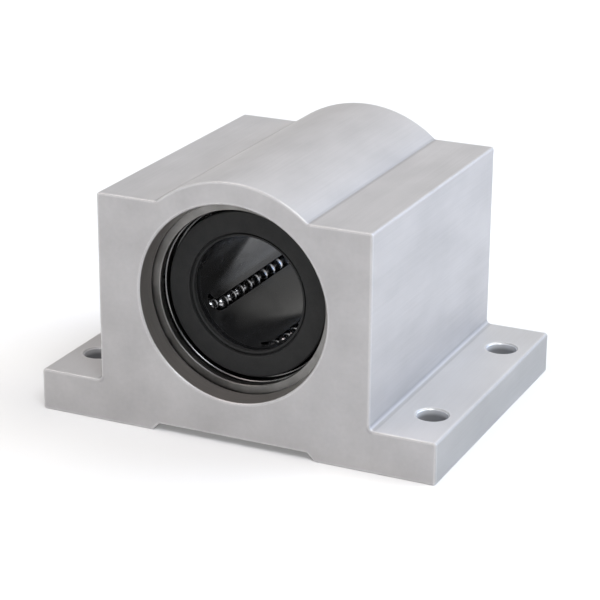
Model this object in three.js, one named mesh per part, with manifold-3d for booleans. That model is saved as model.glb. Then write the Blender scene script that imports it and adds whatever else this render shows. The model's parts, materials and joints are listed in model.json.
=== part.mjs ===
// Flange-mounted linear ball bearing for a 3/4 inch round shaft: an aluminium pillow block that holds
// one self-aligning ball bushing with five recirculating ball circuits.
//
// Frame: millimetres, +Z up, +Y along the shaft. The origin is the middle of the mounting plane.
//
// Inside the block, from the wall inwards: a snap ring at each end of the bore, a polymer sleeve with a
// window for each steel bearing plate, a polymer ball retainer with one racetrack pocket per circuit,
// the balls, and a wiper seal at each end.
import * as THREE from "three";
import { mergeVertices } from "three/addons/utils/BufferGeometryUtils.js";
import Module from "manifold-3d";

const INCH = 25.4;

// Housing, an extruded profile
const HOUSING_WIDTH = 2.75 * INCH;
const HOUSING_LENGTH = 2.06 * INCH;
const BLOCK_WIDTH = 47.5;
const SHOULDER_HEIGHT = 39.1;
const FLANGE_THICKNESS = 7.1;
const SHAFT_HEIGHT = 0.937 * INCH;
const CROWN_RADIUS = 20.1;
const RELIEF = { halfWidth: 14.5, depth: 1.3, slope: 1.3 };
const VALLEY_FILLET = 0.4;
const FLANGE_FILLET = 0.8;
const FLANGE_EDGE = 0.5;
const BLOCK_EDGE = 0.4;

// Screw holes through the flanges
const SCREW_SPACING_X = 2.375 * INCH;
const SCREW_SPACING_Y = 1.25 * INCH;
const SCREW_HOLE_RADIUS = 2.5;

// Bore of the housing, and the snap ring near each of its mouths
const BORE_RADIUS = 1.25 * INCH / 2;
const MOUTH_TAPER = { rise: 0.45, length: 2.6 };
const RING_DEPTH = 3.55;
const RING_THICKNESS = 1.25;
const RING_INNER_RADIUS = 14.5;
const RING_OUTER_RADIUS = 16.5;
const RING_GAP = 5;
const RING_GAP_ANGLE = 40;
const RING_PLAY = 0.3;

// Ball bushing: sleeve, seals and retainer
const SHAFT_RADIUS = 0.75 * INCH / 2;
const BUSHING_LENGTH = 1.625 * INCH;
const SLEEVE_OUTER_RADIUS = 15.7;
const SLEEVE_INNER_RADIUS = 14.2;
const SLEEVE_CHAMFER = 0.5;
const SEAL_SEAT = { radius: 14.45, depth: 1.9, rimRadius: 14.9, rimDepth: 0.4 };
const SLEEVE_GROOVE = { centre: 15.6, width: 1.4, radius: 14.95 };
const SEAL_THICKNESS = 1.3;
const SEAL_OUTER_RADIUS = 13.85;
const SEAL_MOUTH_RADIUS = 10.3;
const SEAL_RELIEF = { radius: 9.98, depth: 0.7 };
const SEAL_LIP_RADIUS = 9.6;
const SEAL_LIP_DEPTH = 0.35;
const RETAINER_HALF_LENGTH = 19.05;
const RETAINER_OUTER_RADIUS = 13.7;
const RETAINER_INNER_RADIUS = 9.9;
const RETAINER_COUNTERBORE = { radius: 10.15, length: 1.4 };

// Ball circuits: each is a flat racetrack with a loaded row, a return row and two turns
const CIRCUITS = 5;
const FIRST_LOADED_ANGLE = 212;
const BALL_RADIUS = 7 / 64 * INCH / 2;
const BALL_PITCH = 2.94;
const ROW_BALLS = 9;
const RETURN_RADIUS = 11.9;
const TURN_RADIUS = 2.05;
const ROW_TO_TURN = 1.65;
const TRACK_CLEARANCE = 0.15;
const CHANNEL = { halfWidth: 1.56, floor: -0.45 };
const LINK_RADIUS = 0.3;

// Bearing plates: a crowned steel bar over each loaded row
const PLATE_LENGTH = 27;
const PLATE_HEAD = { halfWidth: 3, inner: 14.05, outer: 15.65 };
const PLATE_STEM = { halfWidth: 1.25, inner: 12.5 };
const PLATE_CROWN_DROP = 0.25;
const WINDOW_CLEARANCE = 0.3;

// Facets. Slivers that a cut leaves thinner than SLIVER are closed up.
const AROUND = 40;
const PROFILE_STEPS = 5;
const HOLE_SIDES = 20;
const CROWN_STEPS = 6;
const TRACK_SIDES = 8;
const TURN_STEPS = 5;
const SEEN_BALL = { sides: 8, steps: 4 };
const HIDDEN_BALL = { sides: 6, steps: 3 };
const SLIVER = 0.004;

const LOADED_RADIUS = SHAFT_RADIUS + BALL_RADIUS;
const TRACK_RADIUS = BALL_RADIUS + TRACK_CLEARANCE;
const ROW_HALF_LENGTH = BALL_PITCH * (ROW_BALLS - 1) / 2;
const TURN_CENTRE = ROW_HALF_LENGTH + ROW_TO_TURN;

// Longer than any gap or hole, for the tools that cut right through
const PAST_ALL = 60;

const aluminium = new THREE.MeshStandardMaterial({ color: 0xbdbbba, roughness: 0.42, metalness: 0.9 });
const ringSteel = new THREE.MeshStandardMaterial({ color: 0x77736f, roughness: 0.35, metalness: 1 });
const groundSteel = new THREE.MeshStandardMaterial({ color: 0x9b9b9e, roughness: 0.28, metalness: 1 });
const ballSteel = new THREE.MeshStandardMaterial({ color: 0xd6d7da, roughness: 0.08, metalness: 1 });
const blackPolymer = new THREE.MeshStandardMaterial({ color: 0x151516, roughness: 0.25, metalness: 0 });
const sealRubber = new THREE.MeshStandardMaterial({ color: 0x1f1f20, roughness: 0.7, metalness: 0 });

const wasm = await Module();
wasm.setup();

// ---------------------------------------------------------------- solids

function toSolid(geometry) {
  const bare = geometry.clone();
  bare.deleteAttribute("normal");
  bare.deleteAttribute("uv");
  const merged = mergeVertices(bare, 1e-5);
  return new wasm.Manifold(new wasm.Mesh({
    numProp: 3,
    vertProperties: merged.getAttribute("position").array,
    triVerts: new Uint32Array(merged.index.array),
  }));
}

function toGeometry(solid) {
  const mesh = solid.simplify(SLIVER).getMesh();
  const geometry = new THREE.BufferGeometry();
  geometry.setAttribute("position", new THREE.BufferAttribute(mesh.vertProperties, 3));
  geometry.setIndex(new THREE.BufferAttribute(mesh.triVerts, 1));
  return geometry;
}

// A solid turned about the shaft axis, with its profile of [radius, y] points closed on itself.
function turned(profile) {
  const points = [...profile, profile[0]].map(([radius, y]) => new THREE.Vector2(radius, y));
  return new THREE.LatheGeometry(points, AROUND);
}

// The mirror image of the points given for +y, so that a profile runs the same way at both ends.
const mirrored = (half) => [...half.map(([radius, y]) => [radius, -y]).reverse(), ...half];

// ---------------------------------------------------------------- housing

// Profile in the XZ plane, seen along +Y, from the middle of the relief anticlockwise.
function housingProfile() {
  const halfWidth = HOUSING_WIDTH / 2;
  const halfBlock = BLOCK_WIDTH / 2;
  const valleyReach = CROWN_RADIUS + VALLEY_FILLET;
  const valleyZ = SHOULDER_HEIGHT + VALLEY_FILLET;
  const valleyAngle = Math.asin((valleyZ - SHAFT_HEIGHT) / valleyReach);
  const valleyX = valleyReach * Math.cos(valleyAngle);
  const quarter = Math.PI / 2;

  const shape = new THREE.Shape();
  shape.moveTo(RELIEF.halfWidth - RELIEF.slope, RELIEF.depth);
  shape.lineTo(RELIEF.halfWidth, 0);
  shape.lineTo(halfWidth, 0);
  shape.absarc(halfWidth - FLANGE_EDGE, FLANGE_THICKNESS - FLANGE_EDGE, FLANGE_EDGE, 0, quarter);
  shape.absarc(halfBlock + FLANGE_FILLET, FLANGE_THICKNESS + FLANGE_FILLET, FLANGE_FILLET, -quarter, -Math.PI, true);
  shape.absarc(halfBlock - BLOCK_EDGE, SHOULDER_HEIGHT - BLOCK_EDGE, BLOCK_EDGE, 0, quarter);
  shape.absarc(valleyX, valleyZ, VALLEY_FILLET, -quarter, -Math.PI + valleyAngle, true);
  shape.absarc(0, SHAFT_HEIGHT, CROWN_RADIUS, valleyAngle, Math.PI - valleyAngle);
  shape.absarc(-valleyX, valleyZ, VALLEY_FILLET, -valleyAngle, -quarter, true);
  shape.absarc(-halfBlock + BLOCK_EDGE, SHOULDER_HEIGHT - BLOCK_EDGE, BLOCK_EDGE, quarter, Math.PI);
  shape.absarc(-halfBlock - FLANGE_FILLET, FLANGE_THICKNESS + FLANGE_FILLET, FLANGE_FILLET, 0, -quarter, true);
  shape.absarc(-halfWidth + FLANGE_EDGE, FLANGE_THICKNESS - FLANGE_EDGE, FLANGE_EDGE, quarter, Math.PI);
  shape.lineTo(-halfWidth, 0);
  shape.lineTo(-RELIEF.halfWidth, 0);
  shape.lineTo(-RELIEF.halfWidth + RELIEF.slope, RELIEF.depth);
  shape.closePath();
  return shape;
}

// The space that the bore, its tapered mouths and its two snap ring grooves leave.
function boreSpace() {
  const end = HOUSING_LENGTH / 2;
  const groove = { outer: end - RING_DEPTH + RING_PLAY, inner: end - RING_DEPTH - RING_THICKNESS - RING_PLAY };
  const grooveRadius = RING_OUTER_RADIUS + RING_PLAY;
  const half = [
    [BORE_RADIUS, groove.inner],
    [grooveRadius, groove.inner],
    [grooveRadius, groove.outer],
    [BORE_RADIUS, groove.outer],
    [BORE_RADIUS, end - MOUTH_TAPER.length],
    [BORE_RADIUS + 2 * MOUTH_TAPER.rise, end + MOUTH_TAPER.length],
    [0, end + MOUTH_TAPER.length],
  ];
  const points = mirrored(half).map(([radius, y]) => new THREE.Vector2(radius, y));
  return toSolid(new THREE.LatheGeometry(points, AROUND).translate(0, 0, SHAFT_HEIGHT));
}

function screwHole(x, y) {
  const hole = new THREE.CylinderGeometry(SCREW_HOLE_RADIUS, SCREW_HOLE_RADIUS, PAST_ALL, HOLE_SIDES);
  return toSolid(hole.rotateX(Math.PI / 2).translate(x, y, 0));
}

function housing() {
  const block = new THREE.ExtrudeGeometry(housingProfile(), {
    depth: HOUSING_LENGTH,
    bevelEnabled: false,
    curveSegments: PROFILE_STEPS,
  });
  block.rotateX(Math.PI / 2).translate(0, HOUSING_LENGTH / 2, 0);
  let solid = toSolid(block).subtract(boreSpace());
  for (const x of [-SCREW_SPACING_X / 2, SCREW_SPACING_X / 2]) {
    for (const y of [-SCREW_SPACING_Y / 2, SCREW_SPACING_Y / 2]) {
      solid = solid.subtract(screwHole(x, y));
    }
  }
  return toGeometry(solid);
}

// ---------------------------------------------------------------- snap rings, sleeve and seals

// A snap ring for the -Y mouth, drawn about the shaft axis, with the gap that lets it close into its groove.
function snapRing() {
  const outerFace = -HOUSING_LENGTH / 2 + RING_DEPTH;
  const innerFace = outerFace + RING_THICKNESS;
  const ring = toSolid(turned([
    [RING_INNER_RADIUS, outerFace],
    [RING_OUTER_RADIUS, outerFace],
    [RING_OUTER_RADIUS, innerFace],
    [RING_INNER_RADIUS, innerFace],
  ]));
  const gap = new THREE.BoxGeometry(RING_GAP, PAST_ALL, BORE_RADIUS)
    .translate(0, 0, BORE_RADIUS)
    .rotateY(Math.PI / 2 - THREE.MathUtils.degToRad(RING_GAP_ANGLE));
  return toGeometry(ring.subtract(toSolid(gap)));
}

// The steel sleeve, with a groove near each end, a seat for each seal and a window over each loaded row.
function outerSleeve() {
  const end = BUSHING_LENGTH / 2;
  const grooveNear = SLEEVE_GROOVE.centre - SLEEVE_GROOVE.width / 2;
  const grooveFar = SLEEVE_GROOVE.centre + SLEEVE_GROOVE.width / 2;
  const outside = mirrored([
    [SLEEVE_OUTER_RADIUS, grooveNear],
    [SLEEVE_GROOVE.radius, grooveNear],
    [SLEEVE_GROOVE.radius, grooveFar],
    [SLEEVE_OUTER_RADIUS, grooveFar],
    [SLEEVE_OUTER_RADIUS, end - SLEEVE_CHAMFER],
    [SLEEVE_OUTER_RADIUS - SLEEVE_CHAMFER, end],
  ]);
  const inside = mirrored([
    [SLEEVE_INNER_RADIUS, end - SEAL_SEAT.depth],
    [SEAL_SEAT.radius, end - SEAL_SEAT.depth],
    [SEAL_SEAT.radius, end - SEAL_SEAT.rimDepth],
    [SEAL_SEAT.rimRadius, end],
  ]);
  let solid = toSolid(turned([...outside, ...inside.reverse()]));
  for (let circuit = 0; circuit < CIRCUITS; circuit++) {
    const window = new THREE.BoxGeometry(
      2 * (PLATE_HEAD.halfWidth + WINDOW_CLEARANCE),
      PLATE_LENGTH + 2 * WINDOW_CLEARANCE,
      BORE_RADIUS,
    ).translate(0, 0, BORE_RADIUS).rotateY(circuitTurn(circuit));
    solid = solid.subtract(toSolid(window));
  }
  return toGeometry(solid);
}

// The wiper seal for the -Y end: a flat face, a narrow relief and a short lip that wipes the shaft.
function wiperSeal() {
  const face = -BUSHING_LENGTH / 2;
  const back = face + SEAL_THICKNESS;
  return turned([
    [SEAL_RELIEF.radius, face + SEAL_RELIEF.depth],
    [SEAL_MOUTH_RADIUS, face + SEAL_RELIEF.depth],
    [SEAL_MOUTH_RADIUS, face],
    [SEAL_OUTER_RADIUS, face],
    [SEAL_OUTER_RADIUS, back],
    [SEAL_LIP_RADIUS, back],
    [SEAL_LIP_RADIUS, face + SEAL_LIP_DEPTH],
    [SEAL_RELIEF.radius, face + SEAL_LIP_DEPTH],
  ]);
}

// ---------------------------------------------------------------- ball circuits

// In a circuit's own frame +Z points from the shaft axis to the loaded row and +X to the return row.
function circuitTurn(circuit) {
  const angle = FIRST_LOADED_ANGLE + circuit * 360 / CIRCUITS;
  return THREE.MathUtils.degToRad(90 - angle);
}

// The racetrack's plane holds both rows. Its frame has the loaded row at x = -TURN_RADIUS.
function trackPlane() {
  const apart = 2 * TURN_RADIUS;
  const cosine = (LOADED_RADIUS ** 2 + RETURN_RADIUS ** 2 - apart ** 2) / (2 * LOADED_RADIUS * RETURN_RADIUS);
  const returnX = RETURN_RADIUS * Math.sin(Math.acos(cosine));
  const returnZ = RETURN_RADIUS * cosine;
  return {
    x: returnX / 2,
    z: (LOADED_RADIUS + returnZ) / 2,
    turn: -Math.atan2(returnZ - LOADED_RADIUS, returnX),
  };
}

// The path of the ball centres round one circuit in its plane's frame, with a station only where a turn bends it.
class CircuitPath extends THREE.Curve {
  static stations = 2 * (TURN_STEPS + 1);

  station(share) {
    const number = Math.round(share * CircuitPath.stations) % CircuitPath.stations;
    const rear = number <= TURN_STEPS;
    const step = rear ? number : number - TURN_STEPS - 1;
    return { side: rear ? 1 : -1, angle: Math.PI * (step / TURN_STEPS + (rear ? 0 : 1)) };
  }

  getPointAt(share) {
    const { side, angle } = this.station(share);
    return new THREE.Vector3(Math.cos(angle), Math.sin(angle), 0)
      .multiplyScalar(TURN_RADIUS)
      .add(new THREE.Vector3(0, side * TURN_CENTRE, 0));
  }

  getTangentAt(share) {
    const { angle } = this.station(share);
    return new THREE.Vector3(-Math.sin(angle), Math.cos(angle), 0);
  }
}

// The outline of a racetrack whose turns have this radius, as a closed path of the given kind.
function racetrack(Path, radius) {
  const path = new Path();
  path.absarc(0, TURN_CENTRE, radius, 0, Math.PI);
  path.absarc(0, -TURN_CENTRE, radius, Math.PI, 2 * Math.PI);
  path.closePath();
  return path;
}

// The space of one circuit in its plane's frame: a round track under a channel that is open towards the sleeve.
function trackSpace() {
  const tube = new THREE.TubeGeometry(new CircuitPath(), CircuitPath.stations, TRACK_RADIUS, TRACK_SIDES, true);
  const outline = racetrack(THREE.Shape, TURN_RADIUS + CHANNEL.halfWidth);
  outline.holes.push(racetrack(THREE.Path, TURN_RADIUS - CHANNEL.halfWidth));
  const channel = new THREE.ExtrudeGeometry(outline, {
    depth: RETAINER_OUTER_RADIUS - RETAINER_INNER_RADIUS,
    bevelEnabled: false,
    curveSegments: TURN_STEPS,
  });
  channel.translate(0, 0, CHANNEL.floor);
  return toSolid(tube).add(toSolid(channel));
}

// The ball retainer: a liner that clears the shaft, with a racetrack pocket for each circuit.
function ballRetainer() {
  const end = RETAINER_HALF_LENGTH;
  const step = end - RETAINER_COUNTERBORE.length;
  const inside = mirrored([
    [RETAINER_INNER_RADIUS, step],
    [RETAINER_COUNTERBORE.radius, step],
    [RETAINER_COUNTERBORE.radius, end],
  ]).reverse();
  let solid = toSolid(turned([...inside, [RETAINER_OUTER_RADIUS, -end], [RETAINER_OUTER_RADIUS, end]]));
  const plane = trackPlane();
  const space = toGeometry(trackSpace()).rotateY(plane.turn).translate(plane.x, 0, plane.z);
  for (let circuit = 0; circuit < CIRCUITS; circuit++) {
    solid = solid.subtract(toSolid(space.clone().rotateY(circuitTurn(circuit))));
  }
  return toGeometry(solid);
}

// A bearing plate in its circuit's frame: a T section whose back is crowned so that it can rock.
function bearingPlate() {
  const halfLength = PLATE_LENGTH / 2;
  const section = new THREE.Shape([
    [PLATE_STEM.halfWidth, PLATE_STEM.inner],
    [PLATE_STEM.halfWidth, PLATE_HEAD.inner],
    [PLATE_HEAD.halfWidth, PLATE_HEAD.inner],
    [PLATE_HEAD.halfWidth, PLATE_HEAD.outer],
    [-PLATE_HEAD.halfWidth, PLATE_HEAD.outer],
    [-PLATE_HEAD.halfWidth, PLATE_HEAD.inner],
    [-PLATE_STEM.halfWidth, PLATE_HEAD.inner],
    [-PLATE_STEM.halfWidth, PLATE_STEM.inner],
  ].map(([x, z]) => new THREE.Vector2(x, z)));
  const bar = new THREE.ExtrudeGeometry(section, { depth: PLATE_LENGTH, bevelEnabled: false })
    .rotateX(Math.PI / 2)
    .translate(0, halfLength, 0);

  const back = [new THREE.Vector2(0, -halfLength)];
  for (let step = 0; step <= CROWN_STEPS; step++) {
    const share = 2 * step / CROWN_STEPS - 1;
    back.push(new THREE.Vector2(PLATE_HEAD.outer - PLATE_CROWN_DROP * share ** 2, share * halfLength));
  }
  back.push(new THREE.Vector2(0, halfLength));
  const crown = new THREE.LatheGeometry(back, AROUND);
  return toGeometry(toSolid(bar).intersect(toSolid(crown)));
}

// A straight row of balls along Y about the origin. A thin link between neighbours makes the row one solid.
function ballRow(count, facets) {
  const linkAngle = Math.acos(LINK_RADIUS / BALL_RADIUS);
  const end = BALL_PITCH * (count - 1) / 2;
  const profile = [new THREE.Vector2(0, -end - BALL_RADIUS)];
  for (let place = 0; place < count; place++) {
    const centre = new THREE.Vector2(0, place * BALL_PITCH - end);
    for (let step = 0; step <= facets.steps; step++) {
      const angle = linkAngle * (2 * step / facets.steps - 1);
      const outwards = new THREE.Vector2(Math.cos(angle), Math.sin(angle));
      profile.push(outwards.multiplyScalar(BALL_RADIUS).add(centre));
    }
  }
  profile.push(new THREE.Vector2(0, end + BALL_RADIUS));
  return new THREE.LatheGeometry(profile, facets.sides);
}

// The two balls of a turn towards +Y, about the turn's centre.
function turnBalls() {
  const reach = Math.sqrt(TURN_RADIUS ** 2 - (BALL_PITCH / 2) ** 2);
  return ballRow(2, HIDDEN_BALL).rotateZ(Math.PI / 2).translate(0, reach, 0);
}

// ---------------------------------------------------------------- assembly

function named(name, geometry, material) {
  const mesh = new THREE.Mesh(geometry, material);
  mesh.name = name;
  return mesh;
}

// One circuit's plate and its balls, with +Z towards the loaded row.
function circuitGroup(number, plate, loadedRow, returnRow, turn) {
  const plane = trackPlane();
  const track = new THREE.Group();
  track.position.set(plane.x, 0, plane.z);
  track.rotation.y = plane.turn;

  const loaded = named(`loaded_balls_${number}`, loadedRow, ballSteel);
  loaded.position.x = -TURN_RADIUS;
  const returning = named(`return_balls_${number}`, returnRow, ballSteel);
  returning.position.x = TURN_RADIUS;
  const rear = named(`rear_turn_balls_${number}`, turn, ballSteel);
  rear.position.y = TURN_CENTRE;
  const front = named(`front_turn_balls_${number}`, turn, ballSteel);
  front.position.y = -TURN_CENTRE;
  front.rotation.z = Math.PI;
  track.add(loaded, returning, rear, front);

  const group = new THREE.Group();
  group.rotation.y = circuitTurn(number - 1);
  group.add(named(`bearing_plate_${number}`, plate, groundSteel), track);
  return group;
}

function bushing() {
  const group = new THREE.Group();
  group.position.z = SHAFT_HEIGHT;
  group.add(named("outer_sleeve", outerSleeve(), groundSteel));
  group.add(named("ball_retainer", ballRetainer(), blackPolymer));

  const ringGeometry = snapRing();
  const sealGeometry = wiperSeal();
  for (const [end, turn] of [["front", 0], ["rear", Math.PI]]) {
    const ring = named(`${end}_retaining_ring`, ringGeometry, ringSteel);
    const seal = named(`${end}_seal`, sealGeometry, sealRubber);
    ring.rotation.z = turn;
    seal.rotation.z = turn;
    group.add(ring, seal);
  }

  const plate = bearingPlate();
  const loadedRow = ballRow(ROW_BALLS, SEEN_BALL);
  const returnRow = ballRow(ROW_BALLS, HIDDEN_BALL);
  const turn = turnBalls();
  for (let number = 1; number <= CIRCUITS; number++) {
    group.add(circuitGroup(number, plate, loadedRow, returnRow, turn));
  }
  return group;
}

const pillowBlock = new THREE.Group();
pillowBlock.add(named("housing", housing(), aluminium), bushing());

export default pillowBlock;
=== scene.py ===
"""A flange-mounted linear ball bearing for a 3/4 inch shaft.

A milled aluminium block holds a black ball bushing between two snap rings. The block and each piece of the
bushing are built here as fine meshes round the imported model, in metres in its frame: +Z is up, +Y runs along
the shaft, and the origin is the middle of the mounting plane.
"""

import json
import math

import bmesh
import bpy
from mathutils import Matrix, Vector


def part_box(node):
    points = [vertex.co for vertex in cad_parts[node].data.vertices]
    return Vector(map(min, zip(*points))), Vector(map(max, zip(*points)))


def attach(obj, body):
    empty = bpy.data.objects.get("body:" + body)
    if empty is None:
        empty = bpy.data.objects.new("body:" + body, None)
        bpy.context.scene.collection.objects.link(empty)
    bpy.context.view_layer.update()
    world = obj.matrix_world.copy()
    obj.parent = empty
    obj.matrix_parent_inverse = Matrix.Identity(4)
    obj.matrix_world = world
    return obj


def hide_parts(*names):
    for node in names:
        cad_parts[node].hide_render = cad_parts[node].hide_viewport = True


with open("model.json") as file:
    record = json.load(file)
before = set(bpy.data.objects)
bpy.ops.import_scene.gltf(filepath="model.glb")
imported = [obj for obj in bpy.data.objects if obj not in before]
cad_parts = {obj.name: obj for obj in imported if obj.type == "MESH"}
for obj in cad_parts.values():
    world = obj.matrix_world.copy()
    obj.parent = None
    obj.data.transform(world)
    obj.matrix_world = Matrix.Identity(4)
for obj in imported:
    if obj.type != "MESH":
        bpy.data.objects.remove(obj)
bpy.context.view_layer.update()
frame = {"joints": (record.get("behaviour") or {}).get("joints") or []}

MM = 0.001
JOINTS = {joint["name"]: joint for joint in frame["joints"]}
CIRCUITS = range(1, 6)

# Housing
SHAFT_Z = JOINTS["bushing_turn"]["pos_m"][2]
HOUSING_LOW, HOUSING_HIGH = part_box("housing")
BLOCK_HALF_WIDTH = 23.75 * MM
SHOULDER_Z = 39.1 * MM
FLANGE_TOP = 7.1 * MM
CROWN_RADIUS = HOUSING_HIGH.z - SHAFT_Z
RELIEF_HALF_WIDTH = 14.5 * MM
RELIEF_DEPTH = 1.3 * MM
VALLEY_FILLET = 0.4 * MM
FLANGE_FILLET = 0.8 * MM
FLANGE_EDGE = 0.5 * MM
BLOCK_EDGE = 0.4 * MM
FOOT_EDGE = 0.35 * MM
END_EDGE = 0.28 * MM
SCREW_X = 30.1625 * MM
SCREW_Y = 15.875 * MM
SCREW_HOLE_RADIUS = 2.5 * MM
SCREW_HOLE_CHAMFER = 0.3 * MM
SCREW_HOLE_SIDES = 64
BORE_RADIUS = 15.875 * MM
MOUTH_RISE = 0.45 * MM
MOUTH_LENGTH = 2.6 * MM
MOUTH_EDGE = 0.25 * MM
BORE_SIDES = 192
BROKEN_EDGE = 0.07 * MM

# Snap rings, with the angle from the top of the bore to the gap in degrees
RING_INNER_RADIUS = 14.5 * MM
RING_OUTER_RADIUS = 16.5 * MM
RING_INNER_EDGE = 0.2 * MM
RING_OUTER_EDGE = 0.15 * MM
RING_PLAY = 0.3 * MM
RING_GAP = 5 * MM
RING_GAP_FROM_TOP = 50

# Bushing
BUSHING_SIDES = 160
SLEEVE_RADIUS = 15.7 * MM
SLEEVE_INNER_RADIUS = 14.2 * MM
SLEEVE_CHAMFER = 0.5 * MM
SEAL_SEAT_RADIUS = 14.45 * MM
SEAL_SEAT_DEPTH = 1.9 * MM
RIM_RADIUS = 14.6 * MM
RIM_DEPTH = 0.15 * MM
SLEEVE_GROOVE_Y = 15.6 * MM
SLEEVE_GROOVE_HALF_WIDTH = 0.7 * MM
SLEEVE_GROOVE_RADIUS = 14.95 * MM
SEAL_RADIUS = 13.85 * MM
SEAL_MOUTH_RADIUS = 10.3 * MM
SEAL_RELIEF_RADIUS = 9.98 * MM
SEAL_RELIEF_DEPTH = 0.7 * MM
SEAL_LIP_RADIUS = 9.6 * MM
SEAL_LIP_DEPTH = 0.35 * MM
RETAINER_RADIUS = 13.7 * MM
RETAINER_INNER_RADIUS = 9.9 * MM
COUNTERBORE_RADIUS = 10.15 * MM
COUNTERBORE_LENGTH = 1.4 * MM

# Balls and their grooves, whose heights start at the ball centres
BALL_RADIUS = 7 / 128 * 25.4 * MM
ROW_BALLS = 9
GROOVE_RADIUS = BALL_RADIUS + 0.11 * MM
CHANNEL_HALF_WIDTH = 1.56 * MM
CHANNEL_FLOOR = -0.45 * MM
CHANNEL_TOP = RETAINER_RADIUS / 3
TURN_STEPS = 16

# Bearing plates
PLATE_HEAD_HALF_WIDTH = 3 * MM
PLATE_STEM_HALF_WIDTH = 1.25 * MM
PLATE_STEM_INNER = 12.5 * MM
PLATE_HEAD_INNER = 14.05 * MM
PLATE_BACK = 15.65 * MM
PLATE_CROWN_DROP = 0.25 * MM
PLATE_EDGE = 0.12 * MM
PLATE_SECTIONS = 24
WINDOW_CLEARANCE = 0.3 * MM

# Camera, lights and surround, with angles in degrees
CAMERA_AZIMUTH = 24.92
CAMERA_ELEVATION = 20.22
CAMERA_ROLL = 0.4
CAMERA_DISTANCE = 0.3567
CAMERA_LENS = 127.6
SENSOR_WIDTH = 36
STUDIO_TARGET = Vector((-0.0003, 0, 0.0161))
LIGHT_DISTANCE = 1.1
FLOOR_HALF_WIDTH = 4
WHITE_BELOW = 7
DIM_ABOVE = 14
DIM_STRENGTH = 0.05


# ---------------------------------------------------------------- meshes


def object_from(name, bm):
    """A new object in the scene that holds the bmesh, with its normals turned outwards."""
    bmesh.ops.recalc_face_normals(bm, faces=bm.faces)
    mesh = bpy.data.meshes.new(name)
    bm.to_mesh(mesh)
    bm.free()
    made = bpy.data.objects.new(name, mesh)
    bpy.context.scene.collection.objects.link(made)
    return made


def skinned(name, rings, looped=False):
    """The solid whose skin joins rings of equally many points, in a loop or with its two end rings filled."""
    bm = bmesh.new()
    rings = [[bm.verts.new(point) for point in ring] for ring in rings]
    following_rings = [*rings[1:], rings[0]] if looped else rings[1:]
    for ring, following in zip(rings, following_rings):
        for here, there in zip(range(len(ring)), [*range(1, len(ring)), 0]):
            bm.faces.new((ring[here], following[here], following[there], ring[there]))
    if not looped:
        bm.faces.new(rings[0])
        bm.faces.new(rings[-1][::-1])
    return object_from(name, bm)


def loft(name, sections):
    """The solid that joins closed outlines of equally many (x, z) points, each given after its y."""
    return skinned(name, [[(x, y, z) for x, z in outline] for y, outline in sections])


def prism(name, outline, low_y, high_y):
    """The solid between two planes across Y whose outline is the (x, z) points given."""
    return loft(name, [(low_y, outline), (high_y, outline)])


def turned(name, profile, sides):
    """The solid that the closed (radius, y) profile sweeps about the shaft axis."""
    rings = []
    for side in range(sides):
        angle = 2 * math.pi * side / sides
        rings.append([
            (radius * math.cos(angle), y, SHAFT_Z + radius * math.sin(angle)) for radius, y in profile
        ])
    return skinned(name, rings, looped=True)


def arc(centre, radius, start, end, steps):
    """Points on an arc in a plane, from the start angle to the end angle in degrees."""
    angles = [math.radians(start + (end - start) * step / steps) for step in range(steps + 1)]
    return [(centre[0] + radius * math.cos(a), centre[1] + radius * math.sin(a)) for a in angles]


def circle(centre, radius, sides):
    """The corners of a many-sided circle in a plane, each given once."""
    return arc(centre, radius, 0, 360, sides)[:-1]


def rounded_corners(corners, steps=5):
    """A closed outline whose corners, given as (a, b, radius), are rounded to their radius."""
    points = []
    for before, corner, after in zip([corners[-1], *corners], corners, [*corners[1:], corners[0]]):
        tip, radius = Vector(corner[:2]), corner[2]
        back = (Vector(before[:2]) - tip).normalized()
        ahead = (Vector(after[:2]) - tip).normalized()
        half = back.angle(ahead) / 2
        centre = (back + ahead).normalized() * (radius / math.sin(half))
        spoke = back * (radius / math.tan(half)) - centre
        sweep = math.copysign(math.pi - 2 * half, back.cross(ahead))
        for step in range(steps + 1):
            points.append(tuple(tip + centre + Matrix.Rotation(-sweep * step / steps, 2) @ spoke))
    return points


def mirrored(half):
    """The profile whose +Y half is given, with its -Y half before it."""
    return [(radius, -y) for radius, y in reversed(half)] + list(half)


def apply_modifiers(piece):
    """Gives the piece the mesh that its modifiers make, and takes them off."""
    evaluated = piece.evaluated_get(bpy.context.evaluated_depsgraph_get())
    piece.data = bpy.data.meshes.new_from_object(evaluated)
    piece.modifiers.clear()


def cut(piece, *cutters):
    """Takes the cutters' shapes out of the piece, and deletes the cutters."""
    for cutter in cutters:
        modifier = piece.modifiers.new("cut", "BOOLEAN")
        modifier.object = cutter
        modifier.operation = "DIFFERENCE"
        modifier.solver = "EXACT"
    apply_modifiers(piece)
    for cutter in cutters:
        bpy.data.objects.remove(cutter)


def round_edges(piece, width):
    """Rounds the edges that turn by more than 35 degrees."""
    bevel = piece.modifiers.new("edges", "BEVEL")
    bevel.width = width
    bevel.segments = 2
    bevel.limit_method = "ANGLE"
    bevel.angle_limit = math.radians(35)
    bevel.use_clamp_overlap = True
    apply_modifiers(piece)


def finish_piece(piece, body, nodes, material, smooth_under=30):
    """Shades the piece, gives it its material and joins it to the frame."""
    piece.data.shade_smooth()
    piece.data.set_sharp_from_angle(angle=math.radians(smooth_under))
    flat_faces = piece.modifiers.new("flat_faces", "WEIGHTED_NORMAL")
    flat_faces.weight = 100
    flat_faces.keep_sharp = True
    apply_modifiers(piece)
    piece.data.materials.clear()
    piece.data.materials.append(material)
    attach(piece, body)
    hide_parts(*nodes)


# ---------------------------------------------------------------- materials


SOCKETS = {"metallic": "Metallic", "roughness": "Roughness", "specular_ior_level": "Specular IOR Level"}


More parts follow.
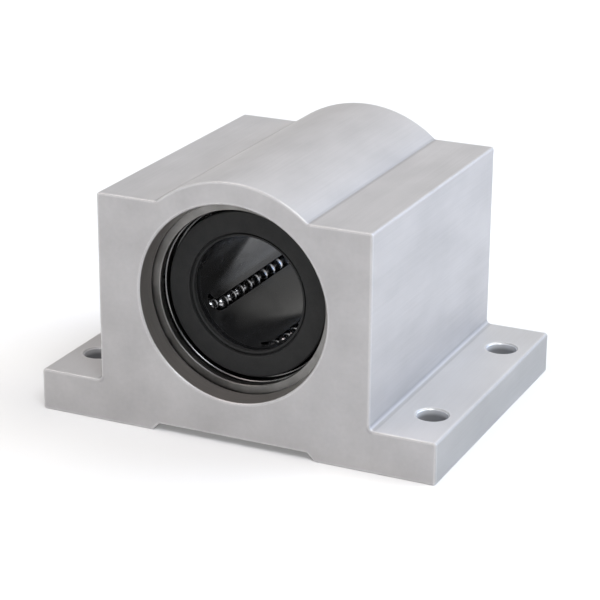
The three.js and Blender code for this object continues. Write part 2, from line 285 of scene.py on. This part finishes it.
class Surface:
    """A node material with a Principled shader, and short ways to add the usual procedural detail."""

    def __init__(self, name, **settings):
        self.material = bpy.data.materials.new(name)
        self.material.use_nodes = True
        self.nodes = self.material.node_tree.nodes
        self.links = self.material.node_tree.links
        self.shader = self.nodes["Principled BSDF"]
        for socket, value in settings.items():
            self.shader.inputs[SOCKETS[socket]].default_value = value
        self.place = self.nodes.new("ShaderNodeTexCoord").outputs["Object"]
        self.normal = None

    def noise(self, per_metre, detail=3.0, roughness=0.5, distortion=0.0):
        """Noise with its scale given along X, Y and Z, in features to the metre."""
        mapping = self.nodes.new("ShaderNodeMapping")
        mapping.inputs["Scale"].default_value = per_metre
        self.links.new(self.place, mapping.inputs["Vector"])
        noise = self.nodes.new("ShaderNodeTexNoise")
        noise.inputs["Scale"].default_value = 1
        noise.inputs["Detail"].default_value = detail
        noise.inputs["Roughness"].default_value = roughness
        noise.inputs["Distortion"].default_value = distortion
        self.links.new(mapping.outputs["Vector"], noise.inputs["Vector"])
        return noise.outputs["Fac"]

    def distance_to(self, centre, axes):
        """How far the surface is from the centre along the axes marked 1.

        The object's left and right, and its front and rear, count alike.
        """
        positive = self.nodes.new("ShaderNodeVectorMath")
        positive.operation = "ABSOLUTE"
        self.links.new(self.place, positive.inputs[0])
        mapping = self.nodes.new("ShaderNodeMapping")
        mapping.inputs["Scale"].default_value = axes
        mapping.inputs["Location"].default_value = -Vector(centre)
        self.links.new(positive.outputs["Vector"], mapping.inputs["Vector"])
        length = self.nodes.new("ShaderNodeVectorMath")
        length.operation = "LENGTH"
        self.links.new(mapping.outputs["Vector"], length.inputs[0])
        return length.outputs["Value"]

    def height_above(self, level):
        """How far the surface is above a level, negative below it."""
        parts = self.nodes.new("ShaderNodeSeparateXYZ")
        self.links.new(self.place, parts.inputs["Vector"])
        return self.math("SUBTRACT", parts.outputs["Z"], level)

    def facing(self, axis):
        """1 where the surface faces along the axis, either way, and 0 where it runs beside it."""
        geometry = self.nodes.new("ShaderNodeNewGeometry")
        parts = self.nodes.new("ShaderNodeSeparateXYZ")
        self.links.new(geometry.outputs["Normal"], parts.inputs["Vector"])
        return self.ranged(self.math("ABSOLUTE", parts.outputs[axis]), 0.7, 0.9)

    def worn_and_highlit_edges(self, radius):
        """About 1 on edges of roughly the radius given, and 0 on flats. The materials make these edges
        lighter, partly as wear and partly as a painted highlight.
        """
        bevel = self.nodes.new("ShaderNodeBevel")
        bevel.samples = 6
        bevel.inputs["Radius"].default_value = radius
        geometry = self.nodes.new("ShaderNodeNewGeometry")
        likeness = self.nodes.new("ShaderNodeVectorMath")
        likeness.operation = "DOT_PRODUCT"
        self.links.new(bevel.outputs["Normal"], likeness.inputs[0])
        self.links.new(geometry.outputs["Normal"], likeness.inputs[1])
        return self.ranged(likeness.outputs["Value"], 0.995, 0.88)

    def ranged(self, value, low, high, to_low=0.0, to_high=1.0):
        """The value mapped from one range to another, and held inside it."""
        node = self.nodes.new("ShaderNodeMapRange")
        node.inputs["From Min"].default_value = low
        node.inputs["From Max"].default_value = high
        node.inputs["To Min"].default_value = to_low
        node.inputs["To Max"].default_value = to_high
        self.links.new(value, node.inputs["Value"])
        return node.outputs["Result"]

    def math(self, operation, *values):
        """The result of a math node whose values are numbers or sockets."""
        node = self.nodes.new("ShaderNodeMath")
        node.operation = operation
        for socket, value in zip(node.inputs, values):
            if isinstance(value, (int, float)):
                socket.default_value = value
            else:
                self.links.new(value, socket)
        return node.outputs["Value"]

    def blend(self, share, first, second):
        """A colour that runs from the first to the second as the share goes from 0 to 1."""
        mix = self.nodes.new("ShaderNodeMix")
        mix.data_type = "RGBA"
        self.links.new(share, mix.inputs["Factor"])
        # The colour sockets share their names with the node's number sockets, so they go by place
        for socket, colour in ((mix.inputs[6], first), (mix.inputs[7], second)):
            if isinstance(colour, tuple):
                socket.default_value = (*colour, 1)
            else:
                self.links.new(colour, socket)
        return mix.outputs[2]

    def colour(self, value):
        self.links.new(value, self.shader.inputs["Base Color"])

    def roughness(self, value):
        self.links.new(value, self.shader.inputs["Roughness"])

    def bump(self, height, distance, strength):
        """Adds a bump of about the distance given, over any bump there already is."""
        bump = self.nodes.new("ShaderNodeBump")
        bump.inputs["Distance"].default_value = distance
        bump.inputs["Strength"].default_value = strength
        self.links.new(height, bump.inputs["Height"])
        if self.normal:
            self.links.new(self.normal, bump.inputs["Normal"])
        self.normal = bump.outputs["Normal"]
        self.links.new(self.normal, self.shader.inputs["Normal"])


def aluminium_grain(surface):
    """Mottling on the two ends of the housing, and fine lines along the shaft elsewhere."""
    drawn = surface.noise((4200, 45, 4200), detail=4)
    mottled = surface.noise((1300, 1300, 1300), detail=5, roughness=0.6)
    ends = surface.facing("Y")
    sides = surface.math("SUBTRACT", 1.0, ends)
    return surface.math("ADD",
                        surface.math("MULTIPLY", mottled, ends),
                        surface.math("MULTIPLY", drawn, sides))


def aluminium_outside(surface, tone):
    """The colour of the housing's outer faces, with a painted highlight that makes the flanges' tops lighter
    and painted shade that makes their sides darker.
    """
    flange_level = surface.distance_to((0, 0, FLANGE_TOP), axes=(0, 0, 1))
    flange_top = surface.math("MULTIPLY",
                              surface.ranged(flange_level, 0.08 * MM, 0.04 * MM),
                              surface.facing("Z"))
    flange_side = surface.ranged(surface.distance_to((HOUSING_HIGH.x, 0, 0), axes=(1, 0, 0)),
                                 0.2 * MM, 0.05 * MM)
    drawn_face = surface.blend(tone, (0.385, 0.375, 0.375), (0.465, 0.455, 0.455))
    # Painted light: the flanges' tops get a lighter colour and their sides a darker one, for how the light
    # falls on them.
    lit_flange_top_face = surface.blend(tone, (0.49, 0.48, 0.48), (0.55, 0.54, 0.54))
    shaded_flange_side_face = surface.blend(tone, (0.325, 0.32, 0.315), (0.37, 0.365, 0.36))
    return surface.blend(flange_side, surface.blend(flange_top, drawn_face, lit_flange_top_face), shaded_flange_side_face)


def corner_shade(surface):
    """How much painted shade there is in the valleys beside the crown, and on both sides of the flanges'
    fillets.
    """
    off_corner = 0.1 * MM
    valley_x = math.sqrt(CROWN_RADIUS ** 2 - (SHOULDER_Z - SHAFT_Z) ** 2)
    valley = surface.distance_to((valley_x + off_corner, 0, SHOULDER_Z + off_corner), axes=(1, 0, 1))
    fillet_middle = FLANGE_FILLET * (1 - math.sqrt(0.5))
    fillet = surface.distance_to((BLOCK_HALF_WIDTH + fillet_middle, 0, FLANGE_TOP + fillet_middle),
                                 axes=(1, 0, 1))
    beside_fillet = surface.math("MULTIPLY",
                                 surface.ranged(fillet, 0.85 * MM, 0.5 * MM),
                                 surface.ranged(fillet, 0.1 * MM, 0.25 * MM))
    return surface.math("MAXIMUM",
                        surface.math("MULTIPLY", 0.7, surface.ranged(valley, 0.5 * MM, 0.15 * MM)),
                        surface.math("MULTIPLY", 0.5, beside_fillet))


def bare_aluminium():
    """Aluminium with painted shade in its corners, edges painted lighter as wear and highlight, a bore wall
    painted dark as shade, and holes painted light at the top and darker with depth as shade.
    """
    surface = Surface("bare_aluminium", metallic=0.35)
    grain = aluminium_grain(surface)
    cloudy = surface.noise((150, 70, 150), detail=3)
    tone = surface.math("ADD", surface.math("MULTIPLY", grain, 0.3), surface.math("MULTIPLY", cloudy, 0.7))
    tone = surface.ranged(tone, 0.3, 0.7)

    mouth_radius = BORE_RADIUS + MOUTH_RISE
    bored = surface.ranged(surface.distance_to((0, 0, SHAFT_Z), axes=(1, 0, 1)),
                           mouth_radius + 0.04 * MM, mouth_radius + 0.01 * MM)
    drilled = surface.ranged(surface.distance_to((SCREW_X, SCREW_Y, 0), axes=(1, 1, 0)),
                             SCREW_HOLE_RADIUS + 0.1 * MM, SCREW_HOLE_RADIUS + 0.05 * MM)
    deep = surface.ranged(surface.height_above(FLANGE_TOP), -0.7 * MM, -1.3 * MM)
    edges = surface.worn_and_highlit_edges(0.6 * MM)
    tooled = surface.noise((250, 9000, 250), detail=2)

    # The bore wall is painted dark as shade, over faint turning marks.
    bore_wall_shade = surface.blend(tooled, (0.115, 0.107, 0.1), (0.185, 0.172, 0.16))
    # Screw holes: a painted highlight near the top of their walls, turning into painted shade deeper down.
    hole_wall_light_and_shade = surface.blend(deep, (0.80, 0.80, 0.81), (0.34, 0.34, 0.35))
    # Painted shade: the valleys and the bands beside the fillets are darkened as if in shadow.
    shaded_outside = surface.blend(corner_shade(surface), aluminium_outside(surface, tone), (0.25, 0.245, 0.255))
    # The edges are painted much lighter: partly wear, mostly a painted highlight along them.
    edged = surface.blend(edges, shaded_outside, (0.86, 0.85, 0.85))
    surface.colour(surface.blend(bored, surface.blend(drilled, edged, hole_wall_light_and_shade), bore_wall_shade))

    smooth = surface.math("MAXIMUM", surface.math("MAXIMUM", bored, drilled), edges)
    rough = surface.ranged(tone, 0, 1, to_low=0.52, to_high=0.44)
    surface.roughness(surface.math("SUBTRACT", rough, surface.math("MULTIPLY", smooth, 0.16)))
    surface.bump(grain, 0.01 * MM, 0.35)
    return surface.material


def spring_steel():
    """Dark steel with faint lines and darker patches."""
    surface = Surface("spring_steel", metallic=1.0)
    drawn = surface.noise((900, 4000, 900), detail=3)
    patches = surface.noise((260, 260, 260), detail=4)
    body = surface.blend(surface.ranged(patches, 0.3, 0.7), (0.15, 0.146, 0.14), (0.25, 0.244, 0.234))
    # Lighter edges: partly wear, partly a painted highlight.
    surface.colour(surface.blend(surface.worn_and_highlit_edges(0.2 * MM), body, (0.26, 0.255, 0.24)))
    surface.roughness(surface.ranged(drawn, 0.3, 0.7, to_low=0.32, to_high=0.46))
    surface.bump(drawn, 0.004 * MM, 0.5)
    return surface.material


def ground_steel():
    """Steel with fine grinding marks round the shaft's axis."""
    surface = Surface("ground_steel", metallic=1.0)
    ground = surface.noise((300, 7000, 300), detail=3)
    patches = surface.noise((350, 350, 350), detail=4)
    body = surface.blend(surface.ranged(patches, 0.3, 0.7), (0.18, 0.178, 0.175), (0.25, 0.247, 0.243))
    # Lighter edges: a painted highlight along the rims, with some wear.
    surface.colour(surface.blend(surface.worn_and_highlit_edges(0.12 * MM), body, (0.25, 0.247, 0.24)))
    surface.roughness(surface.ranged(ground, 0.3, 0.7, to_low=0.24, to_high=0.36))
    surface.bump(ground, 0.002 * MM, 0.5)
    return surface.material


def polished_steel():
    """Smooth steel with a slight haze."""
    surface = Surface("polished_steel", metallic=1.0)
    haze = surface.noise((700, 700, 700), detail=3)
    surface.colour(surface.blend(haze, (0.42, 0.42, 0.43), (0.52, 0.52, 0.53)))
    surface.roughness(surface.ranged(haze, 0.3, 0.7, to_low=0.2, to_high=0.3))
    surface.bump(haze, 0.0005 * MM, 0.3)
    return surface.material


def glossy_polymer():
    """Black polymer with flow swirls, and paler on its edges, partly from wear and partly as a painted
    highlight.
    """
    surface = Surface("glossy_polymer", specular_ior_level=0.36)
    swirl = surface.noise((220, 90, 220), detail=4, distortion=1.5)
    grain = surface.noise((3500, 3500, 3500), detail=2)
    body = surface.blend(surface.ranged(swirl, 0.3, 0.7), (0.006, 0.006, 0.0065), (0.013, 0.013, 0.014))
    # Paler edges: partly wear, partly a painted highlight.
    surface.colour(surface.blend(surface.worn_and_highlit_edges(0.12 * MM), body, (0.05, 0.05, 0.05)))
    surface.roughness(surface.ranged(swirl, 0.3, 0.7, to_low=0.12, to_high=0.28))
    surface.bump(swirl, 0.05 * MM, 0.4)
    surface.bump(grain, 0.002 * MM, 0.4)
    return surface.material


def seal_rubber():
    """Dull black rubber with a fine grain and a little dust."""
    surface = Surface("seal_rubber", specular_ior_level=0.22)
    grain = surface.noise((5200, 5200, 5200), detail=3)
    dust = surface.noise((420, 420, 420), detail=5)
    body = surface.blend(surface.ranged(dust, 0.3, 0.75), (0.019, 0.019, 0.019), (0.025, 0.025, 0.0245))
    # Lighter edges: partly wear, partly a painted highlight on the lips.
    surface.colour(surface.blend(surface.worn_and_highlit_edges(0.1 * MM), body, (0.035, 0.035, 0.035)))
    surface.roughness(surface.ranged(grain, 0.3, 0.7, to_low=0.5, to_high=0.72))
    surface.bump(grain, 0.008 * MM, 0.5)
    return surface.material


def pale_floor():
    """A pale floor that glows a little, and turns into a white sweep further out."""
    surface = Surface("pale_floor", roughness=0.9)
    surface.shader.inputs["Emission Color"].default_value = (1, 1, 1, 1)
    glow = surface.ranged(surface.distance_to((0, 0, 0), axes=(1, 1, 0)), 0.2, 0.6,
                          to_low=0.16, to_high=1.0)
    surface.links.new(glow, surface.shader.inputs["Emission Strength"])
    tone = surface.noise((9, 9, 9), detail=2)
    surface.colour(surface.blend(tone, (0.65, 0.65, 0.65), (0.67, 0.67, 0.67)))
    return surface.material


# ---------------------------------------------------------------- housing and snap rings


def housing_outline(inset):
    """The block's outline as (x, z) points, anticlockwise from the right of the relief.

    The inset draws every side in by the same distance.
    """
    half_width = HOUSING_HIGH.x
    reach = CROWN_RADIUS + VALLEY_FILLET
    valley_z = SHOULDER_Z + VALLEY_FILLET
    valley_angle = math.degrees(math.asin((valley_z - SHAFT_Z) / reach))
    valley_x = reach * math.cos(math.radians(valley_angle))
    fillet_x = BLOCK_HALF_WIDTH + FLANGE_FILLET
    slope_x = RELIEF_HALF_WIDTH + (math.sqrt(2) - 1) * inset
    right = [
        (slope_x - RELIEF_DEPTH, RELIEF_DEPTH + inset),
        (slope_x, inset),
        *arc((half_width - FOOT_EDGE, FOOT_EDGE), FOOT_EDGE - inset, -90, 0, 5),
        *arc((half_width - FLANGE_EDGE, FLANGE_TOP - FLANGE_EDGE), FLANGE_EDGE - inset, 0, 90, 6),
        *arc((fillet_x, FLANGE_TOP + FLANGE_FILLET), FLANGE_FILLET + inset, -90, -180, 8),
        *arc((BLOCK_HALF_WIDTH - BLOCK_EDGE, SHOULDER_Z - BLOCK_EDGE), BLOCK_EDGE - inset, 0, 90, 5),
        *arc((valley_x, valley_z), VALLEY_FILLET + inset, -90, valley_angle - 180, 6),
    ]
    crown = arc((0, SHAFT_Z), CROWN_RADIUS - inset, valley_angle, 180 - valley_angle, 72)[1:-1]
    return right + crown + [(-x, z) for x, z in reversed(right)]


def housing_body():
    """The block without its holes, with its two end faces rounded into its sides."""
    steps = 4
    front = []
    for step in range(steps + 1):
        angle = math.pi / 2 * step / steps
        outline = housing_outline(END_EDGE * (1 - math.sin(angle)))
        front.append((HOUSING_LOW.y + END_EDGE * (1 - math.cos(angle)), outline))
    return loft("housing_fine", front + [(-y, outline) for y, outline in reversed(front)])


def bore_cutter(ring_low, ring_high):
    """The space of the bore with its tapered mouths and the grooves of the snap rings."""
    end = HOUSING_HIGH.y
    mouth_radius = BORE_RADIUS + MOUTH_RISE
    groove_radius = RING_OUTER_RADIUS + RING_PLAY
    profile = mirrored([
        (BORE_RADIUS, ring_low - RING_PLAY),
        (groove_radius, ring_low - RING_PLAY),
        (groove_radius, ring_high + RING_PLAY),
        (BORE_RADIUS, ring_high + RING_PLAY),
        (BORE_RADIUS, end - MOUTH_LENGTH),
        (mouth_radius, end - MOUTH_EDGE),
        (mouth_radius + 2 * MOUTH_EDGE, end + MOUTH_EDGE),
    ])
    return loft("bore_cutter", [(y, circle((0, SHAFT_Z), radius, BORE_SIDES)) for radius, y in profile])


def screw_hole_cutter(centre_x, centre_y):
    """A hole through a flange, with its two rims chamfered."""
    past = 1 * MM
    wide = SCREW_HOLE_RADIUS + SCREW_HOLE_CHAMFER + past
    profile = [
        (wide, -past),
        (SCREW_HOLE_RADIUS, SCREW_HOLE_CHAMFER),
        (SCREW_HOLE_RADIUS, FLANGE_TOP - SCREW_HOLE_CHAMFER),
        (wide, FLANGE_TOP + past),
    ]
    return skinned("screw_hole_cutter", [
        [(x, y, z) for x, y in circle((centre_x, centre_y), radius, SCREW_HOLE_SIDES)]
        for radius, z in profile
    ])


def build_housing(material):
    """The block with its bore and its four screw holes, and every sharp edge just broken."""
    ring_low, ring_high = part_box("rear_retaining_ring")
    housing = housing_body()
    holes = [screw_hole_cutter(x, y) for x in (-SCREW_X, SCREW_X) for y in (-SCREW_Y, SCREW_Y)]
    cut(housing, bore_cutter(ring_low.y, ring_high.y), *holes)
    round_edges(housing, BROKEN_EDGE)
    finish_piece(housing, "housing", ["housing"], material)


def about_shaft(angle):
    """From a frame that starts on the shaft axis, turned from +Z towards +X, to the object's."""
    return Matrix.Translation((0, 0, SHAFT_Z)) @ Matrix.Rotation(angle, 4, "Y")


def radial_slab(name, half_width, low_y, high_y, matrix):
    """A slab from the shaft axis out past the bore, along +Z of the matrix's frame."""
    reach = 2 * BORE_RADIUS
    outline = [(-half_width, 0), (half_width, 0), (half_width, reach), (-half_width, reach)]
    slab = prism(name, outline, low_y, high_y)
    slab.data.transform(matrix)
    return slab


def build_snap_ring(end, material):
    """A ring whose gap is turned to the right at the front, and to the left at the rear."""
    low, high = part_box(f"{end}_retaining_ring")
    ring = turned(f"{end}_retaining_ring_fine", rounded_corners([
        (RING_INNER_RADIUS, low.y, RING_INNER_EDGE),
        (RING_OUTER_RADIUS, low.y, RING_OUTER_EDGE),
        (RING_OUTER_RADIUS, high.y, RING_OUTER_EDGE),
        (RING_INNER_RADIUS, high.y, RING_INNER_EDGE),
    ]), BORE_SIDES)
    side = 1 if end == "front" else -1
    gap_matrix = about_shaft(side * math.radians(RING_GAP_FROM_TOP))
    cut(ring, radial_slab("gap_cutter", RING_GAP / 2, 2 * HOUSING_LOW.y, 2 * HOUSING_HIGH.y, gap_matrix))
    finish_piece(ring, "housing", [f"{end}_retaining_ring"], material)


# ---------------------------------------------------------------- bushing


def circuit_matrix(number):
    """From a circuit's own frame, with +Z from the shaft axis to its plate, to the object's."""
    plate = Vector(JOINTS[f"plate_{number}_rock"]["pos_m"])
    return about_shaft(math.atan2(plate.x, plate.z - SHAFT_Z))


def centre_of(node):
    """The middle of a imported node's box."""
    low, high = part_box(node)
    return (low + high) / 2


class Track:
    """Where one circuit runs: the middle of each row and turn, and the plane that holds them."""

    def __init__(self, number):
        self.loaded = centre_of(f"loaded_balls_{number}")
        self.returning = centre_of(f"return_balls_{number}")
        self.across = (self.returning - self.loaded).normalized()
        self.radius = (self.returning - self.loaded).length / 2
        self.turns = {
            end: Vector(JOINTS[f"{end}_turn_{number}_swing"]["pos_m"]) for end in ("front", "rear")
        }
        self.outwards = self.across.cross(Vector((0, 1, 0)))
        low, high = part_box(f"loaded_balls_{number}")
        self.row_end = (high.y - low.y) / 2 - BALL_RADIUS
        self.pitch = 2 * self.row_end / (ROW_BALLS - 1)

    def path(self):
        """The ball centres' closed path, as (point, direction across the path) pairs."""
        pairs = []
        for end, start in (("rear", 0), ("front", math.pi)):
            for step in range(TURN_STEPS + 1):
                angle = start + math.pi * step / TURN_STEPS
                out = self.across * math.cos(angle) + Vector((0, math.sin(angle), 0))
                pairs.append((self.turns[end] + out * self.radius, out))
        return pairs

    def groove(self):
        """The space round the balls: half round below, and square from the channel's floor to its top."""
        slope = math.degrees(math.asin(-CHANNEL_FLOOR / GROOVE_RADIUS))
        outline = [
            (CHANNEL_HALF_WIDTH, CHANNEL_TOP),
            (-CHANNEL_HALF_WIDTH, CHANNEL_TOP),
            (-CHANNEL_HALF_WIDTH, CHANNEL_FLOOR),
            *arc((0, 0), GROOVE_RADIUS, 180 + slope, 360 - slope, 12),
            (CHANNEL_HALF_WIDTH, CHANNEL_FLOOR),
        ]
        rings = [
            [point + out * across + self.outwards * height for across, height in outline]
            for point, out in self.path()
        ]
        return skinned("groove_cutter", rings, looped=True)


def build_sleeve(material):
    """A steel shell with a window for each plate, two grooves round it, and a seal's seat at each end."""
    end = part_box("outer_sleeve")[1].y
    groove_near = SLEEVE_GROOVE_Y - SLEEVE_GROOVE_HALF_WIDTH
    groove_far = SLEEVE_GROOVE_Y + SLEEVE_GROOVE_HALF_WIDTH
    outside = mirrored([
        (SLEEVE_RADIUS, groove_near),
        (SLEEVE_GROOVE_RADIUS, groove_near),
        (SLEEVE_GROOVE_RADIUS, groove_far),
        (SLEEVE_RADIUS, groove_far),
        (SLEEVE_RADIUS, end - SLEEVE_CHAMFER),
        (SLEEVE_RADIUS - SLEEVE_CHAMFER, end),
    ])
    inside = mirrored([
        (SLEEVE_INNER_RADIUS, end - SEAL_SEAT_DEPTH),
        (SEAL_SEAT_RADIUS, end - SEAL_SEAT_DEPTH),
        (SEAL_SEAT_RADIUS, end - RIM_DEPTH),
        (RIM_RADIUS, end),
    ])
    sleeve = turned("outer_sleeve_fine", [*outside, *reversed(inside)], BUSHING_SIDES)
    plate_low, plate_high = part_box("bearing_plate_1")
    half_width = PLATE_HEAD_HALF_WIDTH + WINDOW_CLEARANCE
    low_y, high_y = plate_low.y - WINDOW_CLEARANCE, plate_high.y + WINDOW_CLEARANCE
    cut(sleeve, *[
        radial_slab("window_cutter", half_width, low_y, high_y, circuit_matrix(number)) for number in CIRCUITS
    ])
    round_edges(sleeve, BROKEN_EDGE)
    finish_piece(sleeve, "bushing", ["outer_sleeve"], material)


def build_retainer(material):
    """A polymer cage with a wider bore at its two ends and a groove for each circuit."""
    low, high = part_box("ball_retainer")
    step = high.y - COUNTERBORE_LENGTH
    inside = mirrored([
        (RETAINER_INNER_RADIUS, step),
        (COUNTERBORE_RADIUS, step),
        (COUNTERBORE_RADIUS, high.y),
    ])
    outside = [(RETAINER_RADIUS, high.y), (RETAINER_RADIUS, low.y)]
    retainer = turned("ball_retainer_fine", inside + outside, BUSHING_SIDES)
    cut(retainer, *[Track(number).groove() for number in CIRCUITS])
    finish_piece(retainer, "bushing", ["ball_retainer"], material)


def build_seal(end, material):
    """A rubber ring whose mouth steps down to a thin lip."""
    low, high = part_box(f"{end}_seal")
    face, back = (low.y, high.y) if end == "front" else (high.y, low.y)
    inwards = 1 if end == "front" else -1
    lip = face + inwards * SEAL_LIP_DEPTH
    relief = face + inwards * SEAL_RELIEF_DEPTH
    seal = turned(f"{end}_seal_fine", rounded_corners([
        (SEAL_RELIEF_RADIUS, relief, 0.08 * MM),
        (SEAL_MOUTH_RADIUS, relief, 0.08 * MM),
        (SEAL_MOUTH_RADIUS, face, 0.12 * MM),
        (SEAL_RADIUS, face, 0.3 * MM),
        (SEAL_RADIUS, back, 0.1 * MM),
        (SEAL_LIP_RADIUS, back, 0.15 * MM),
        (SEAL_LIP_RADIUS, lip, 0.12 * MM),
        (SEAL_RELIEF_RADIUS, lip, 0.1 * MM),
    ]), BUSHING_SIDES)
    finish_piece(seal, "bushing", [f"{end}_seal"], material)


def plate_outline(share):
    """The outline across a plate, in its circuit's own frame, at a share from -1 to 1 of its half length."""
    back = PLATE_BACK - PLATE_CROWN_DROP * share ** 2
    shoulder = [
        (PLATE_STEM_HALF_WIDTH, PLATE_STEM_INNER),
        (PLATE_STEM_HALF_WIDTH, PLATE_HEAD_INNER),
        (PLATE_HEAD_HALF_WIDTH, PLATE_HEAD_INNER),
    ]
    spread = math.degrees(math.asin(PLATE_HEAD_HALF_WIDTH / back))
    crown = arc((0, 0), back, 90 - spread, 90 + spread, 12)
    return shoulder + crown + [(-x, z) for x, z in reversed(shoulder)]


def build_plate(number, material):
    """A T-shaped bar with a crowned back, and a foot that the loaded balls roll along."""
    low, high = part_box(f"bearing_plate_{number}")
    half_length = (high.y - low.y) / 2
    shares = [2 * section / PLATE_SECTIONS - 1 for section in range(PLATE_SECTIONS + 1)]
    plate = loft(f"bearing_plate_{number}_fine", [
        (share * half_length, plate_outline(share)) for share in shares
    ])
    plate.data.transform(circuit_matrix(number))
    round_edges(plate, PLATE_EDGE)
    finish_piece(plate, f"bearing_plate_{number}", [f"bearing_plate_{number}"], material)


def build_balls(node, centres, material):
    """Separate round balls at the centres given, as one piece."""
    bm = bmesh.new()
    for centre in centres:
        bmesh.ops.create_icosphere(bm, subdivisions=3, radius=BALL_RADIUS, matrix=Matrix.Translation(centre))
    piece = object_from(f"{node}_fine", bm)
    finish_piece(piece, node, [node], material, smooth_under=60)


def build_circuit(number, material):
    """The loaded and the return row of one circuit, and the pair of balls in each of its turns."""
    track = Track(number)
    along = Vector((0, 1, 0))
    row = [along * (place * track.pitch - track.row_end) for place in range(ROW_BALLS)]
    build_balls(f"loaded_balls_{number}", [track.loaded + step for step in row], material)
    build_balls(f"return_balls_{number}", [track.returning + step for step in row], material)
    reach = math.sqrt(track.radius ** 2 - (track.pitch / 2) ** 2)
    for end, side in (("front", -1), ("rear", 1)):
        middle = track.turns[end] + along * side * reach
        pair = [middle + track.across * sign * track.pitch / 2 for sign in (-1, 1)]
        build_balls(f"{end}_turn_balls_{number}", pair, material)


# ---------------------------------------------------------------- studio


def build_floor():
    bm = bmesh.new()
    bmesh.ops.create_grid(bm, x_segments=8, y_segments=8, size=FLOOR_HALF_WIDTH)
    floor = object_from("floor", bm)
    floor.data.materials.append(pale_floor())


def place_aimed(data, azimuth, elevation, distance):
    """Adds the camera or light, aimed at the target from the direction given in degrees.

    The azimuth is 0 in front of the object and 90 on its right.
    """
    turn, rise = math.radians(azimuth), math.radians(elevation)
    back = Vector((math.sin(turn) * math.cos(rise), -math.cos(turn) * math.cos(rise), math.sin(rise)))
    placed = bpy.data.objects.new(data.name, data)
    bpy.context.scene.collection.objects.link(placed)
    placed.location = STUDIO_TARGET + back * distance
    placed.rotation_mode = "QUATERNION"
    placed.rotation_quaternion = (-back).to_track_quat("-Z", "Y")
    return placed


def build_camera():
    data = bpy.data.cameras.new("camera")
    data.lens = CAMERA_LENS
    data.sensor_width = SENSOR_WIDTH
    data.clip_start = 0.01
    data.clip_end = 20
    camera = place_aimed(data, CAMERA_AZIMUTH, CAMERA_ELEVATION, CAMERA_DISTANCE)
    roll = Matrix.Rotation(math.radians(CAMERA_ROLL), 3, "Z").to_quaternion()
    camera.rotation_quaternion = camera.rotation_quaternion @ roll
    bpy.context.scene.camera = camera


def build_light(name, azimuth, elevation, size, watts, colour):
    """A square soft light."""
    data = bpy.data.lights.new(name, "AREA")
    data.size = size
    data.energy = watts
    data.color = colour
    place_aimed(data, azimuth, elevation, LIGHT_DISTANCE)


def build_world():
    """A white surround near the horizon, and little light from above it."""
    world = bpy.data.worlds.new("studio")
    world.use_nodes = True
    nodes, links = world.node_tree.nodes, world.node_tree.links
    direction = nodes.new("ShaderNodeTexCoord")
    parts = nodes.new("ShaderNodeSeparateXYZ")
    links.new(direction.outputs["Generated"], parts.inputs["Vector"])
    fade = nodes.new("ShaderNodeMapRange")
    fade.inputs["From Min"].default_value = math.sin(math.radians(WHITE_BELOW))
    fade.inputs["From Max"].default_value = math.sin(math.radians(DIM_ABOVE))
    fade.inputs["To Min"].default_value = 1.0
    fade.inputs["To Max"].default_value = DIM_STRENGTH
    links.new(parts.outputs["Z"], fade.inputs["Value"])
    links.new(fade.outputs["Result"], nodes["Background"].inputs["Strength"])
    nodes["Background"].inputs["Color"].default_value = (1, 1, 1, 1)
    bpy.context.scene.world = world


def build_studio():
    build_floor()
    build_world()
    bpy.context.scene.view_settings.view_transform = "Standard"
    build_light("front_right_light", azimuth=38, elevation=51, size=0.5, watts=7.0, colour=(0.91, 0.95, 1.0))
    build_light("front_left_light", azimuth=-50, elevation=59, size=0.6, watts=4.3, colour=(1.0, 0.87, 0.86))
    build_light("right_light", azimuth=107, elevation=55, size=0.6, watts=5.9, colour=(1.0, 0.95, 0.83))
    build_light("left_light", azimuth=-75, elevation=40, size=0.8, watts=2.3, colour=(0.9, 1.0, 0.97))
    build_light("rear_light", azimuth=180, elevation=45, size=1.2, watts=3.5, colour=(1.0, 0.99, 0.97))
    build_light("rear_right_light", azimuth=122, elevation=27, size=0.8, watts=7.9, colour=(0.48, 0.66, 1.0))
    build_camera()


# ---------------------------------------------------------------- the scene

aluminium = bare_aluminium()
ring_steel = spring_steel()
bearing_steel = ground_steel()
ball_steel = polished_steel()
retainer_polymer = glossy_polymer()
rubber = seal_rubber()

build_housing(aluminium)
build_sleeve(bearing_steel)
build_retainer(retainer_polymer)
for end_name in ("front", "rear"):
    build_snap_ring(end_name, ring_steel)
    build_seal(end_name, rubber)
for circuit_number in CIRCUITS:
    build_plate(circuit_number, bearing_steel)
    build_circuit(circuit_number, ball_steel)
build_studio()
